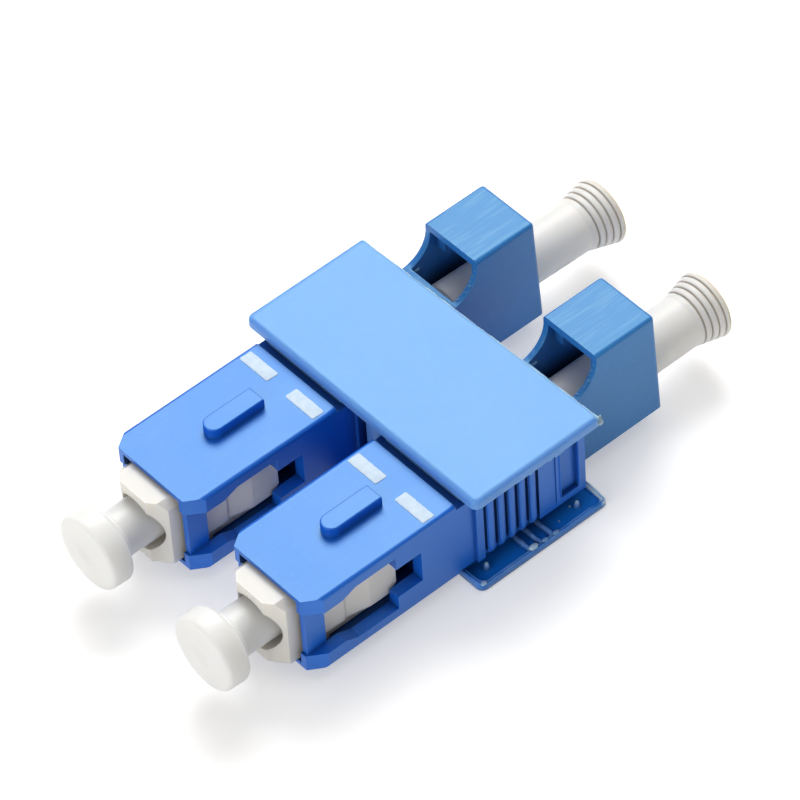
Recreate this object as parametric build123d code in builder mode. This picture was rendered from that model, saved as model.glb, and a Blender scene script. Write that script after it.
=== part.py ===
from build123d import *
import os

# Hybrid duplex fibre adapter: two square plug ends at -X and two small ports at +X,
# side by side and held between a top and a bottom cover. The origin is the middle of
# the bottom cover's underside, X runs from plug end to port end and Z is up.

os.makedirs("parts", exist_ok=True)

# The two channels
row_pitch = 12.7
rows = {"a": -row_pitch / 2, "b": row_pitch / 2}
axis_z = 4.9
slide_gap = 0.15
seat_gap = 0.02

# Plug grip, the blue outer housing of a plug
grip_front = -19.5
grip_rear = 5.9
grip_width = 8.9
grip_height = 7.4
grip_wall = 0.6
grip_roof = 0.4
grip_edge = 0.3
grip_corner_x = 1.37
grip_corner_y = 0.91
pillar_length = 1.95
pillar_wall = 0.5
pillar_recess = 0.2
seat_x = -5.95
seat_depth = 0.4
room_front = -7.5
room_rear = -1.8
room_width = 7.0
room_height = 5.2
notch_length = 1.9

# Window in each side of a grip
window_ramp_start = -16.55
window_ramp_end = -15.3
window_step = -11.6
window_rear = -9.3
window_front_height = 4.4
window_height = 5.4
window_neck_height = 2.95
latch_room_rear = -8.3
latch_wall = 1.0

# Key on top of a grip and the printed marks beside it
key_width = 1.6
key_height = 0.9
key_length = 4.8
key_rear = -9.55
key_edge = 0.12
mark_front = -8.24
mark_length = 1.09
mark_width = 3.04
mark_offset = 2.51
mark_thickness = 0.05
mark_corner = 0.12
mark_shift = {"a": -0.4, "b": 0.4}

# Finger pads on the sides of a grip: raised bars between grooves, then a framed panel
pad_proud = 0.3
pad_front = -4.4
groove_first = -3.6
groove_width = 0.28
bar_pitch = 0.985
bar_count = 5
bar_height = 6.2
panel_x = 3.46
panel_length = 1.63
panel_height = 4.9
panel_frame = 0.42
panel_depth = 0.25
panel_proud = 0.1

# Covers that clamp the two channels
cover_front = -5.5
cover_rear_a = 5.95
cover_rear_b = 5.2
cover_overhang = 1.6
cover_thickness = 0.9
cover_corner = 0.6
cover_edge = 0.2
tray_front = -5.4
tray_rear = 6.7
tray_floor = 0.5
tray_lip = 0.9
tray_lip_wall = 0.45
tray_overlap = 0.05
tray_edge = 0.25
tray_lip_edge = 0.12
tray_inner_corner = 0.3
seat_pad_side = 3.9
seat_pad_front = -5.2
seat_pad_rear = 3.85
stub_x = (-0.45, 0.52, 1.63)
stub_width = 0.36
stub_height = 0.85
post_radius = 0.33
post_height = 1.1
post_places = ((-3.7, -11.15), (4.85, -11.3))
peg_x = (-3.2, 2.6)
peg_radius = 0.8
socket_radius = 1.35

# Plug frame, the ivory inner body of a plug
frame_protrusion = 1.7
nose_width = 5.4
nose_corner_x = 1.3
nose_corner_y = 1.0
nose_edge = 0.65
nose_length = 4.6
frame_bore = 2.4
mouth_depth = 4.3
web_thickness = 1.0
web_hole = 1.45
unit_bore = 2.2
waist_width = 5.1
block_front = -16.4
block_crest = -13.2
block_rear = -10.8
block_proud = 0.6
block_height = 4.2
block_corner = 0.7
barrel_radius = 2.75
collar_front = -6.2
collar_length = 4.2
collar_corner = 0.4

# Port body, the blue body of the small port
port_width = 5.6
port_wall = 0.5
port_top = 6.55
port_bottom = 3.36
port_roof = 0.65
port_floor = 0.75
port_roof_front = 9.0
port_roof_rear = 14.6
mouth_slant = 0.55
scoop_radius = 2.5
scoop_drop = 0.65
port_step = 5.4
port_back_wall = 7.0
port_spine_height = 4.9
spigot_length = 4.5
unit_tunnel = 1.45
stop_web_x = 1.0
stop_web_hole = 0.75
catch_x = 9.6
catch_length = 1.6
catch_drop = 1.9
catch_width = 0.85
port_edge = 0.3

# Sleeve holder and split sleeve of a port
holder_x = 3.0
holder_flange = 2.0
holder_flange_length = 1.2
snout_radius = 1.2
snout_end = 10.6
sleeve_outer = 0.81
sleeve_inner = 0.635
sleeve_length = 6.8
sleeve_slot = 0.3
mouth_lip = 0.4
mouth_hole = 0.7

# Ferrules and the sprung unit that carries them
plug_ferrule_radius = 1.25
plug_ferrule_protrusion = 0.7
plug_ferrule_tip_flat = 1.05
plug_ferrule_chamfer = 0.35
plug_ferrule_seat = 2.9
port_ferrule_radius = 0.6245
port_ferrule_end = 6.6
port_ferrule_seat = 3.2
port_ferrule_chamfer = 0.12
port_ferrule_chamfer_length = 0.2
ferrule_float = 1.0
flange_radius = 2.1
flange_length = 3.3
flange_notch = 0.6
stem_radius = 1.2
stem_end = -0.3
fibre_hole = 0.2
wire_radius = 0.2
spring_radius = 1.75
spring_turns = 5

# Dust caps
plug_cap_stem = 1.85
plug_cap_stem_chamfer = 0.2
plug_cap_bore = 1.3
plug_cap_room = 1.1
plug_cap_head = 3.15
plug_cap_neck = 2.55
plug_cap_thickness = 2.0
plug_cap_taper = 0.15
plug_cap_edge = 0.55
port_cap_radius = 2.1
port_cap_start = 7.2
port_cap_chamfer = 0.15
port_cap_gap = 0.1
port_cap_depth = 4.6
port_cap_flare = 2.7
port_cap_rim = 0.26
port_cap_rim_edge = 0.24
port_cap_shift = {"a": 0.0, "b": 0.9}
ring_first = 20.15
ring_pitch = 0.55
ring_count = 4
ring_width = 0.16
ring_depth = 0.22


# Planes: section(x) looks along X with its centre on the optical axis, side() is the
# upright plane through that axis, and level(z) lies flat at a height.
def section(x):
    return Plane(origin=(x, 0, axis_z), x_dir=(0, 1, 0), z_dir=(1, 0, 0))


def side():
    return Plane(origin=(0, 0, axis_z), x_dir=(1, 0, 0), z_dir=(0, -1, 0))


def level(z):
    return Plane.XY.offset(z)


optical_axis = Axis((0, 0, axis_z), (1, 0, 0))
half_seat = grip_height / 2 - seat_depth
cover_half_width = row_pitch / 2 + grip_width / 2 + cover_overhang
frame_front = grip_front - frame_protrusion
cover_z = 2 * axis_z - cover_thickness
window_front = grip_front + pillar_length
web_x = frame_front + mouth_depth
ferrule_tip = frame_front - plug_ferrule_protrusion
flange_front = web_x + web_thickness
flare_start = ring_first - ring_pitch
flare_end = ring_first + (ring_count - 0.5) * ring_pitch


def finish(part, name):
    part.label = name
    export_step(part, f"parts/{name}.step")


def finish_rows(part, name):
    """One copy of a channel's piece in each row."""
    for row, y in rows.items():
        finish(part.moved(Location((0, y, 0))), f"{name}_{row}")


# Plug grip: a square tube with chamfered mouth corners, side windows and a keyed top
def make_plug_grip():
    with BuildPart() as grip:
        with BuildSketch(section(grip_front)):
            RectangleRounded(grip_width, grip_height, grip_edge)
        extrude(amount=grip_rear - grip_front)
        # Mouth corners, cut back further along X than along Y
        with BuildSketch(level(axis_z)):
            for way in (-1, 1):
                with BuildLine():
                    Polyline(
                        (grip_front, way * grip_width / 2),
                        (grip_front + grip_corner_x, way * grip_width / 2),
                        (grip_front, way * (grip_width / 2 - grip_corner_y)),
                        close=True,
                    )
                make_face()
        extrude(amount=grip_height, both=True, mode=Mode.SUBTRACT)
        # Seats for the covers, above and below
        with BuildSketch(side()):
            for way in (-1, 1):
                with Locations(((seat_x + grip_rear) / 2, way * (grip_height - seat_depth) / 2)):
                    Rectangle(grip_rear - seat_x, seat_depth)
        extrude(amount=grip_width, both=True, mode=Mode.SUBTRACT)
        # Finger pads: a field cut back to the wall, with round-ended bars standing in it
        field_length = bar_count * bar_pitch + groove_width
        field_middle = groove_first + bar_count * bar_pitch / 2
        for way in (-1, 1):
            with BuildSketch(side().offset(way * (grip_width / 2 - grip_wall))):
                with Locations(((pad_front + grip_rear) / 2, 0)):
                    Rectangle(grip_rear - pad_front, 2 * half_seat)
            extrude(amount=way * (grip_wall + pad_proud))
            with BuildSketch(side().offset(way * grip_width / 2)):
                with Locations((field_middle, 0)):
                    Rectangle(field_length, 2 * half_seat)
            extrude(amount=way * 2 * pad_proud, mode=Mode.SUBTRACT)
            with BuildSketch(side().offset(way * grip_width / 2)):
                for index in range(bar_count):
                    with Locations((groove_first + (index + 0.5) * bar_pitch, 0)):
                        SlotOverall(bar_height, bar_pitch - groove_width, rotation=90)
            extrude(amount=way * pad_proud)
            with BuildSketch(side().offset(way * (grip_width / 2 + pad_proud))):
                with Locations((panel_x + panel_length / 2, 0)):
                    Rectangle(panel_length + 2 * panel_frame, panel_height + 2 * panel_frame)
                    Rectangle(panel_length, panel_height, mode=Mode.SUBTRACT)
            extrude(amount=way * panel_proud)
            with BuildSketch(side().offset(way * (grip_width / 2 + pad_proud))):
                with Locations((panel_x + panel_length / 2, 0)):
                    Rectangle(panel_length, panel_height)
            extrude(amount=-way * panel_depth, mode=Mode.SUBTRACT)
        # Mouth, latch room, rear room, throat and the notches the port body slides in
        mouth_width = grip_width - 2 * (grip_corner_y + pillar_wall)
        inner_height = grip_height - 2 * grip_roof
        with BuildSketch(section(grip_front)):
            Rectangle(mouth_width, inner_height)
        extrude(amount=pillar_length, mode=Mode.SUBTRACT)
        with BuildSketch(section(window_front)):
            Rectangle(grip_width - 2 * latch_wall, inner_height)
        extrude(amount=latch_room_rear - window_front, mode=Mode.SUBTRACT)
        with BuildSketch(section(room_front)):
            Rectangle(room_width, room_height)
        extrude(amount=room_rear - room_front, mode=Mode.SUBTRACT)
        with BuildSketch(section(window_rear)):
            Circle(barrel_radius + slide_gap)
        extrude(amount=room_rear - window_rear, mode=Mode.SUBTRACT)
        with BuildSketch(section(room_rear)):
            Rectangle(port_width + 2 * slide_gap, room_height)
        extrude(amount=grip_rear - room_rear, mode=Mode.SUBTRACT)
        with BuildSketch(section(grip_rear)):
            Rectangle(port_width + 2 * slide_gap, grip_height)
        extrude(amount=-notch_length, mode=Mode.SUBTRACT)
        # Side windows, stepped, with the inset pillar ahead of them
        with BuildSketch(side()):
            with BuildLine():
                Polyline(
                    (window_front, window_front_height / 2),
                    (window_ramp_start, window_front_height / 2),
                    (window_ramp_end, window_height / 2),
                    (window_step, window_height / 2),
                    (window_step, window_neck_height / 2),
                    (window_rear, window_neck_height / 2),
                    (window_rear, -window_neck_height / 2),
                    (window_step, -window_neck_height / 2),
                    (window_step, -window_height / 2),
                    (window_ramp_end, -window_height / 2),
                    (window_ramp_start, -window_front_height / 2),
                    (window_front, -window_front_height / 2),
                    close=True,
                )
            make_face()
        extrude(amount=grip_width, both=True, mode=Mode.SUBTRACT)
        for way in (-1, 1):
            with BuildSketch(side().offset(way * (grip_width / 2 - grip_corner_y))):
                with Locations((grip_front + pillar_length / 2, 0)):
                    Rectangle(pillar_length, window_front_height)
            extrude(amount=way * grip_width, mode=Mode.SUBTRACT)
        with BuildSketch(section(grip_front)):
            Rectangle(grip_width, window_front_height)
        extrude(amount=pillar_recess, mode=Mode.SUBTRACT)
        # Key: full round at its nose, square at its rear
        with BuildSketch(level(axis_z + grip_height / 2)):
            with Locations((key_rear - key_length / 2 + key_width / 4, 0)):
                Rectangle(key_length - key_width / 2, key_width)
            with Locations((key_rear - key_length + key_width / 2, 0)):
                Circle(key_width / 2)
        extrude(amount=key_height)
        key_top = grip.edges().group_by(Axis.Z)[-1]
        fillet(key_top, key_edge)
    return grip.part


# Printed marks on a grip, one each side of the key's line
def make_index_marks(shift):
    with BuildPart() as marks:
        with BuildSketch(level(axis_z + grip_height / 2)):
            for way in (-1, 1):
                with Locations((mark_front + mark_length / 2 + shift, way * mark_offset)):
                    RectangleRounded(mark_length, mark_width, mark_corner)
        extrude(amount=mark_thickness)
    return marks.part


# Top cover: a plate with a slanted broken rear edge, seat pads and two pegs
def make_top_cover():
    seat_top = axis_z + half_seat
    with BuildPart() as cover:
        with BuildSketch(level(cover_z)) as plate:
            with BuildLine():
                Polyline(
                    (cover_front, -cover_half_width),
                    (cover_rear_a, -cover_half_width),
                    (cover_rear_b, cover_half_width),
                    (cover_front, cover_half_width),
                    close=True,
                )
            make_face()
            fillet(plate.vertices().group_by(Axis.X)[0], cover_corner)
        extrude(amount=cover_thickness)
        fillet(cover.edges().group_by(Axis.Z)[-1], cover_edge)
        with BuildSketch(level(seat_top)):
            for y in rows.values():
                with Locations(((seat_pad_front + seat_pad_rear) / 2, y)):
                    Rectangle(seat_pad_rear - seat_pad_front, 2 * seat_pad_side)
        extrude(amount=cover_z - seat_top)
        with BuildSketch(level(axis_z + seat_gap)):
            with Locations([(x, 0) for x in peg_x]):
                Circle(socket_radius)
        extrude(amount=cover_z - axis_z - seat_gap)
        with BuildSketch(level(axis_z + seat_gap)):
            with Locations([(x, 0) for x in peg_x]):
                Circle(peg_radius)
        extrude(amount=-axis_z / 2)
    return cover.part


# Bottom cover: a shallow tray with stubs of the cut ribs, posts, pads and peg sockets
def make_bottom_cover():
    length = tray_rear - tray_front
    middle = (tray_rear + tray_front) / 2
    width = 2 * (cover_half_width + tray_overlap)
    seat_bottom = axis_z - half_seat
    with BuildPart() as cover:
        with BuildSketch(level(0)):
            with Locations((middle, 0)):
                RectangleRounded(length, width, cover_corner)
        extrude(amount=tray_lip)
        fillet(cover.edges().group_by(Axis.Z)[0], tray_edge)
        with BuildSketch(level(tray_floor)):
            with Locations((middle, 0)):
                RectangleRounded(length - 2 * tray_lip_wall, width - 2 * tray_lip_wall, tray_inner_corner)
        extrude(amount=tray_lip, mode=Mode.SUBTRACT)
        fillet(cover.edges().group_by(Axis.Z)[-1], tray_lip_edge)
        with BuildSketch(level(tray_floor)):
            for y in rows.values():
                with Locations(((seat_pad_front + seat_pad_rear) / 2, y)):
                    Rectangle(seat_pad_rear - seat_pad_front, 2 * seat_pad_side)
        extrude(amount=seat_bottom - tray_floor)
        stub_inner = row_pitch / 2 + seat_pad_side
        stub_length = cover_half_width - tray_lip_wall / 2 - stub_inner
        with BuildSketch(level(tray_floor)):
            for way in (-1, 1):
                with Locations([(x, way * (stub_inner + stub_length / 2)) for x in stub_x]):
                    Rectangle(stub_width, stub_length)
        extrude(amount=stub_height - tray_floor)
        with BuildSketch(level(tray_floor)):
            with Locations([(x, way * y) for x, y in post_places for way in (-1, 1)]):
                Circle(post_radius)
        extrude(amount=post_height - tray_floor)
        with BuildSketch(level(tray_floor)):
            with Locations([(x, 0) for x in peg_x]):
                Circle(socket_radius)
        extrude(amount=axis_z - tray_floor)
        with BuildSketch(level(axis_z)):
            with Locations([(x, 0) for x in peg_x]):
                Circle(peg_radius + seat_gap)
        extrude(amount=-axis_z / 2 - slide_gap, mode=Mode.SUBTRACT)
    return cover.part


# Latch blocks of a plug frame: a ramp up to a crest on each side, with the rear corners cut
def make_latch_blocks():
    block_out = nose_width / 2 + block_proud
    half_height = block_height / 2
    with BuildPart() as blocks:
        with BuildSketch(level(axis_z)):
            with BuildLine():
                Polyline(
                    (block_front, 0),
                    (block_front, waist_width / 2),
                    (block_crest, block_out),
                    (block_rear, block_out),
                    (block_rear, 0),
                    close=True,
                )
            make_face()
            mirror(about=Plane.XZ)
        extrude(amount=half_height, both=True)
        with BuildSketch(side()):
            with BuildLine():
                Polyline(
                    (block_front, half_height),
                    (block_rear - block_corner, half_height),
                    (block_rear, half_height - block_corner),
                    (block_rear, block_corner - half_height),
                    (block_rear - block_corner, -half_height),
                    (block_front, -half_height),
                    close=True,
                )
            make_face()
        extrude(amount=block_out, both=True, mode=Mode.INTERSECT)
    return blocks.part


# Plug frame: bored nose, latch blocks, round barrel and a trapped collar
def make_plug_frame():
    nose_height = grip_height - 2 * grip_roof - 2 * slide_gap
    nose_rear = frame_front + nose_length
    collar_rear = collar_front + collar_length
    collar_height = room_height - 2 * slide_gap
    with BuildPart() as frame:
        with BuildSketch(section(frame_front)):
            Rectangle(nose_width, nose_height)
        extrude(amount=nose_length)
        front = frame.faces().sort_by(Axis.X)[0]
        uprights = front.edges().filter_by(Axis.Z)
        chamfer(uprights, nose_corner_x, nose_corner_y, reference=front)
        top_edges = frame.edges().filter_by(Axis.X).group_by(Axis.Z)[-1]
        chamfer(top_edges, nose_edge)
        with BuildSketch(section(nose_rear)):
            Rectangle(waist_width, nose_height)
        extrude(amount=block_rear - nose_rear)
        add(make_latch_blocks())
        with BuildSketch(section(block_rear)):
            Circle(barrel_radius)
        extrude(amount=collar_front - block_rear)
        with BuildSketch(section(collar_front)):
            RectangleRounded(room_width - 2 * slide_gap, collar_height, collar_corner)
        extrude(amount=collar_length)
        # Bores: open mouth, web behind it and the guide of the sprung unit
        with BuildSketch(section(frame_front)):
            Circle(frame_bore)
        extrude(amount=web_x - frame_front, mode=Mode.SUBTRACT)
        with BuildSketch(section(web_x)):
            Circle(web_hole)
        extrude(amount=web_thickness, mode=Mode.SUBTRACT)
        with BuildSketch(section(web_x + web_thickness)):
            Circle(unit_bore)
        extrude(amount=collar_rear - web_x, mode=Mode.SUBTRACT)
    return frame.part


# Port body: spigot in the frame, spine through the grip, and the port with its scooped roof
def make_port_body():
    collar_rear = collar_front + collar_length
    spigot_front = collar_rear - spigot_length
    scoop_x = port_roof_front - scoop_radius
    scoop_z = port_top - scoop_drop
    spine = port_spine_height / 2
    with BuildPart() as body:
        with BuildSketch(side()):
            with BuildLine():
                Polyline(
                    (port_step, scoop_z - scoop_radius),
                    (port_step, spine),
                    (collar_rear, spine),
                    (collar_rear, -spine),
                    (port_step, -spine),
                    (port_step, -port_bottom),
                    (port_roof_rear + mouth_slant, -port_bottom),
                    (port_roof_rear, port_top),
                    (port_roof_front, port_top),
                    (port_roof_front, scoop_z),
                )
                RadiusArc(
                    (port_roof_front, scoop_z),
                    (scoop_x, scoop_z - scoop_radius),
                    scoop_radius,
                )
                Line((scoop_x, scoop_z - scoop_radius), (port_step, scoop_z - scoop_radius))
            make_face()
        extrude(amount=port_width / 2, both=True)
        roof = body.faces().sort_by(Axis.Z)[-1]
        fillet(roof.edges().filter_by(Axis.X), port_edge)
        fillet(body.faces().sort_by(Axis.Z)[-1].edges().filter_by(Axis.Y).sort_by(Axis.X)[-1], port_edge)
        with BuildSketch(section(spigot_front)):
            Circle(unit_bore - seat_gap)
        extrude(amount=spigot_length)
        # Port room, open to the mouth and to the scoop
        room_top = port_top - port_roof
        room_bottom = port_floor - port_bottom
        with BuildSketch(side()):
            with Locations(((port_back_wall + port_roof_rear) / 2 + 1, (room_top + room_bottom) / 2)):
                Rectangle(port_roof_rear - port_back_wall + 2, room_top - room_bottom)
        extrude(amount=port_width / 2 - port_wall, both=True, mode=Mode.SUBTRACT)
        # Latch catches under the roof
        for way in (-1, 1):
            with BuildSketch(side().offset(way * (port_width / 2 - port_wall))):
                with Locations((catch_x + catch_length / 2, room_top - catch_drop / 2)):
                    Rectangle(catch_length, catch_drop)
            extrude(amount=-way * catch_width)
        # Bores for the sprung unit and the sleeve holder, with a stop web between
        with BuildSketch(section(spigot_front)):
            Circle(unit_tunnel)
        extrude(amount=stop_web_x - spigot_front, mode=Mode.SUBTRACT)
        with BuildSketch(section(stop_web_x)):
            Circle(stop_web_hole)
        extrude(amount=holder_x - stop_web_x, mode=Mode.SUBTRACT)
        with BuildSketch(section(holder_x)):
            Circle(holder_flange)
        extrude(amount=port_back_wall - holder_x, mode=Mode.SUBTRACT)
    return body.part


def turned(points):
    """A solid turned about the optical axis from (x, radius) points."""
    with BuildPart() as piece:
        with BuildSketch(side()):
            with BuildLine():
                Polyline(*points, close=True)
            make_face()
        revolve(axis=optical_axis)
    return piece.part


# Sleeve holder: flanged tube whose snout guides the small ferrule
def make_sleeve_holder():
    room = sleeve_outer + seat_gap
    room_end = snout_end - mouth_lip
    flange = holder_flange - seat_gap
    shoulder = holder_x + holder_flange_length
    return turned([
        (holder_x, room),
        (holder_x, flange),
        (shoulder, flange),
        (shoulder, snout_radius),
        (snout_end - mouth_lip / 2, snout_radius),
        (snout_end, snout_radius - mouth_lip / 2),
        (snout_end, mouth_hole),
        (room_end, mouth_hole),
        (room_end, room),
    ])


# Alignment sleeve: a thin split tube
def make_alignment_sleeve():
    start = snout_end - mouth_lip - slide_gap - sleeve_length
    with BuildPart() as sleeve:
        with BuildSketch(section(start)):
            Circle(sleeve_outer)
            Circle(sleeve_inner, mode=Mode.SUBTRACT)
            with Locations((0, sleeve_outer)):
                Rectangle(sleeve_slot, sleeve_outer, mode=Mode.SUBTRACT)
        extrude(amount=sleeve_length)
    return sleeve.part


# Plug ferrule: a plain ground rod with a chamfered tip
def make_plug_ferrule():
    end = flange_front + plug_ferrule_seat
    return turned([
        (ferrule_tip, 0),
        (ferrule_tip, plug_ferrule_tip_flat),
        (ferrule_tip + plug_ferrule_chamfer, plug_ferrule_radius),
        (end, plug_ferrule_radius),
        (end, 0),
    ])


# Port ferrule: the small rod that stands in the split sleeve
def make_port_ferrule():
    start = stem_end - port_ferrule_seat
    return turned([
        (start, 0),
        (start, port_ferrule_radius),
        (port_ferrule_end - port_ferrule_chamfer_length, port_ferrule_radius),
        (port_ferrule_end, port_ferrule_radius - port_ferrule_chamfer),
        (port_ferrule_end, 0),
    ])


# Ferrule holder: flanged steel stem that joins the two ferrules
def make_ferrule_holder():
    ferrule_end = flange_front + plug_ferrule_seat
    port_seat = stem_end - port_ferrule_seat
    with BuildPart() as holder:
        with BuildSketch(section(flange_front)):
            Circle(flange_radius)
            with PolarLocations(flange_radius, 4, start_angle=45):
                Rectangle(2 * flange_notch, flange_notch, mode=Mode.SUBTRACT)
        extrude(amount=flange_length / 2)
        with BuildSketch(section(flange_front + flange_length / 2)):
            Circle(flange_radius)
        extrude(amount=flange_length / 2)
        with BuildSketch(section(flange_front + flange_length)):
            Circle(stem_radius)
        extrude(amount=stem_end - flange_front - flange_length)
        with BuildSketch(section(flange_front)):
            Circle(plug_ferrule_radius + seat_gap)
        extrude(amount=ferrule_end + seat_gap - flange_front, mode=Mode.SUBTRACT)
        with BuildSketch(section(ferrule_end)):
            Circle(fibre_hole)
        extrude(amount=port_seat - ferrule_end, mode=Mode.SUBTRACT)
        with BuildSketch(section(port_seat - seat_gap)):
            Circle(port_ferrule_radius + seat_gap)
        extrude(amount=stem_end - port_seat + seat_gap, mode=Mode.SUBTRACT)
    return holder.part


# Ferrule spring: a coil between the flange and the spigot of the port body
def make_ferrule_spring():
    start = flange_front + flange_length + wire_radius
    end = collar_front + collar_length - spigot_length - wire_radius
    pitch = (end - start) / spring_turns
    with BuildPart() as spring:
        with BuildLine():
            coil = Helix(pitch, end - start, spring_radius, center=(start, 0, axis_z), direction=(1, 0, 0))
        with BuildSketch(Plane(origin=coil @ 0, z_dir=coil % 0)):
            RegularPolygon(wire_radius, 8)
        sweep(is_frenet=True)
    return spring.part


# Dust cap of a plug: hollow stem over the ferrule and a thick rounded head
def make_plug_dust_cap():
    head_rear = frame_front - plug_cap_neck
    head_front = head_rear - plug_cap_thickness
    stem_in = web_x - ferrule_float - slide_gap
    bore_end = ferrule_tip - plug_cap_room
    with BuildPart() as cap:
        with BuildSketch(side()):
            with BuildLine():
                Polyline(
                    (head_front, 0),
                    (head_front, plug_cap_head - plug_cap_taper),
                    (head_rear, plug_cap_head),
                    (head_rear, plug_cap_stem),
                    (stem_in - plug_cap_stem_chamfer, plug_cap_stem),
                    (stem_in, plug_cap_stem - plug_cap_stem_chamfer),
                    (stem_in, plug_cap_bore),
                    (bore_end, plug_cap_bore),
                    (bore_end, 0),
                    close=True,
                )
            make_face()
        revolve(axis=optical_axis)
        rims = cap.edges().filter_by(GeomType.CIRCLE).sort_by(SortBy.RADIUS)[-2:]
        fillet(rims.sort_by(Axis.X)[0], plug_cap_edge)
        fillet(cap.edges().filter_by(GeomType.CIRCLE).sort_by(SortBy.RADIUS)[-1], plug_cap_edge / 2)
    return cap.part


# Dust cap of a port: long tube with a flared, ring-grooved and rounded end
def make_port_dust_cap():
    cap_end = flare_end + port_cap_rim
    bore_end = port_cap_start + port_cap_depth
    bore = snout_radius + port_cap_gap
    with BuildPart() as cap:
        with BuildSketch(side()):
            with BuildLine():
                Polyline(
                    (port_cap_start, bore),
                    (port_cap_start, port_cap_radius - port_cap_chamfer),
                    (port_cap_start + 2 * port_cap_chamfer, port_cap_radius),
                    (flare_start, port_cap_radius),
                    (flare_end, port_cap_flare),
                    (cap_end, port_cap_flare),
                    (cap_end, 0),
                    (bore_end, 0),
                    (bore_end, bore),
                    close=True,
                )
            make_face()
        revolve(axis=optical_axis)
        fillet(cap.faces().sort_by(Axis.X)[-1].edges(), port_cap_rim_edge)
        with BuildSketch(side()):
            for index in range(ring_count):
                x = ring_first + index * ring_pitch
                rise = (x - flare_start) / (flare_end - flare_start)
                radius = port_cap_radius + rise * (port_cap_flare - port_cap_radius)
                with Locations((x, radius)):
                    Rectangle(ring_width, 2 * ring_depth)
        revolve(axis=optical_axis, mode=Mode.SUBTRACT)
    return cap.part


finish(make_top_cover(), "top_cover")
finish(make_bottom_cover(), "bottom_cover")
for row, y in rows.items():
    marks = make_index_marks(mark_shift[row])
    finish(marks.moved(Location((0, y, 0))), f"index_marks_{row}")
finish_rows(make_plug_grip(), "plug_grip")
finish_rows(make_plug_frame(), "plug_frame")
finish_rows(make_port_body(), "port_body")
finish_rows(make_sleeve_holder(), "sleeve_holder")
finish_rows(make_alignment_sleeve(), "alignment_sleeve")
finish_rows(make_plug_ferrule(), "plug_ferrule")
finish_rows(make_port_ferrule(), "port_ferrule")
finish_rows(make_ferrule_holder(), "ferrule_holder")
finish_rows(make_ferrule_spring(), "ferrule_spring")
finish_rows(make_plug_dust_cap(), "plug_dust_cap")
port_dust_cap = make_port_dust_cap()
for row, y in rows.items():
    finish(port_dust_cap.moved(Location((port_cap_shift[row], y, 0))), f"port_dust_cap_{row}")
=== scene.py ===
import math

import bmesh
import bpy
from mathutils import Matrix, Vector, noise


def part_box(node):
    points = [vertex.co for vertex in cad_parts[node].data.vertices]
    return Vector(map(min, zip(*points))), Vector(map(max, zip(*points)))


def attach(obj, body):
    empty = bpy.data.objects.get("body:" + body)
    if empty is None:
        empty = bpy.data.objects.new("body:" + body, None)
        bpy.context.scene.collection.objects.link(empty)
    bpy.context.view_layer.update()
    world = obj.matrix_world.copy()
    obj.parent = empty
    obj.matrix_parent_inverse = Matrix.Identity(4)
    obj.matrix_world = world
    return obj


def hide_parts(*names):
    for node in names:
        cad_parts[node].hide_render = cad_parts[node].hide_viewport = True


# Duplex hybrid fibre adapter: two square blue plugs side by side, two small ports at the
# back, a broken top cover and a shallow tray that clamp them, and a dust cap on every end.

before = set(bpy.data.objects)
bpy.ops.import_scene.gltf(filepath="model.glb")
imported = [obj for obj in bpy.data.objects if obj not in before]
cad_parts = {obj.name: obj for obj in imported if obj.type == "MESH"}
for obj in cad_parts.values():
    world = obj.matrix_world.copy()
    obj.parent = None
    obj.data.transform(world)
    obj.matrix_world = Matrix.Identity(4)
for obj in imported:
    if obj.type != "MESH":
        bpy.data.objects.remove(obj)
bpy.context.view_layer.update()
mm = 0.001
rows = ("a", "b")


def middleOf(node):
    low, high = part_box(node)
    return (low + high) / 2


rowY = {row: middleOf(f"plug_frame_{row}").y for row in rows}
axisZ = middleOf("port_dust_cap_a").z
print("frame loaded:", len(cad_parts), "nodes")


# Shapes that several pieces are made with

def newPiece(name, shape, body, node, smoothUnder=40):
    mesh = bpy.data.meshes.new(name)
    bmesh.ops.recalc_face_normals(shape, faces=shape.faces)
    shape.to_mesh(mesh)
    shape.free()
    mesh.shade_smooth()
    mesh.set_sharp_from_angle(angle=math.radians(smoothUnder))
    piece = bpy.data.objects.new(name, mesh)
    bpy.context.scene.collection.objects.link(piece)
    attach(piece, body)
    if node:
        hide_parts(node)
    return piece


def addLoft(shape, rings, closeStart=True, closeEnd=True, worn=None):
    wornLayer = shape.verts.layers.float.get("worn") or shape.verts.layers.float.new("worn")
    made = []
    for ring, points in enumerate(rings):
        line = []
        for point in points:
            vertex = shape.verts.new(point)
            if worn:
                vertex[wornLayer] = worn(ring, vertex.co)
            line.append(vertex)
        made.append(line)
    for first, second in zip(made, made[1:]):
        for i in range(len(first)):
            j = (i + 1) % len(first)
            shape.faces.new((first[i], first[j], second[j], second[i]))
    if closeStart:
        shape.faces.new(made[0][::-1])
    if closeEnd:
        shape.faces.new(made[-1])


def addTurned(shape, profile, centre, steps=96, upright=False, worn=None):
    # profile holds (distance along the axis, radius); the axis is X, or Z when upright
    rings = []
    for along, radius in profile:
        ring = []
        for k in range(steps):
            angle = 2 * math.pi * k / steps
            across = radius * math.cos(angle), radius * math.sin(angle)
            if upright:
                ring.append((centre[0] + across[0], centre[1] + across[1], along))
            else:
                ring.append((along, centre[0] + across[0], centre[1] + across[1]))
        rings.append(ring)
    addLoft(shape, rings, worn=worn)


lumpDetail = 3
lumpBumps = 1.7


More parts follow.
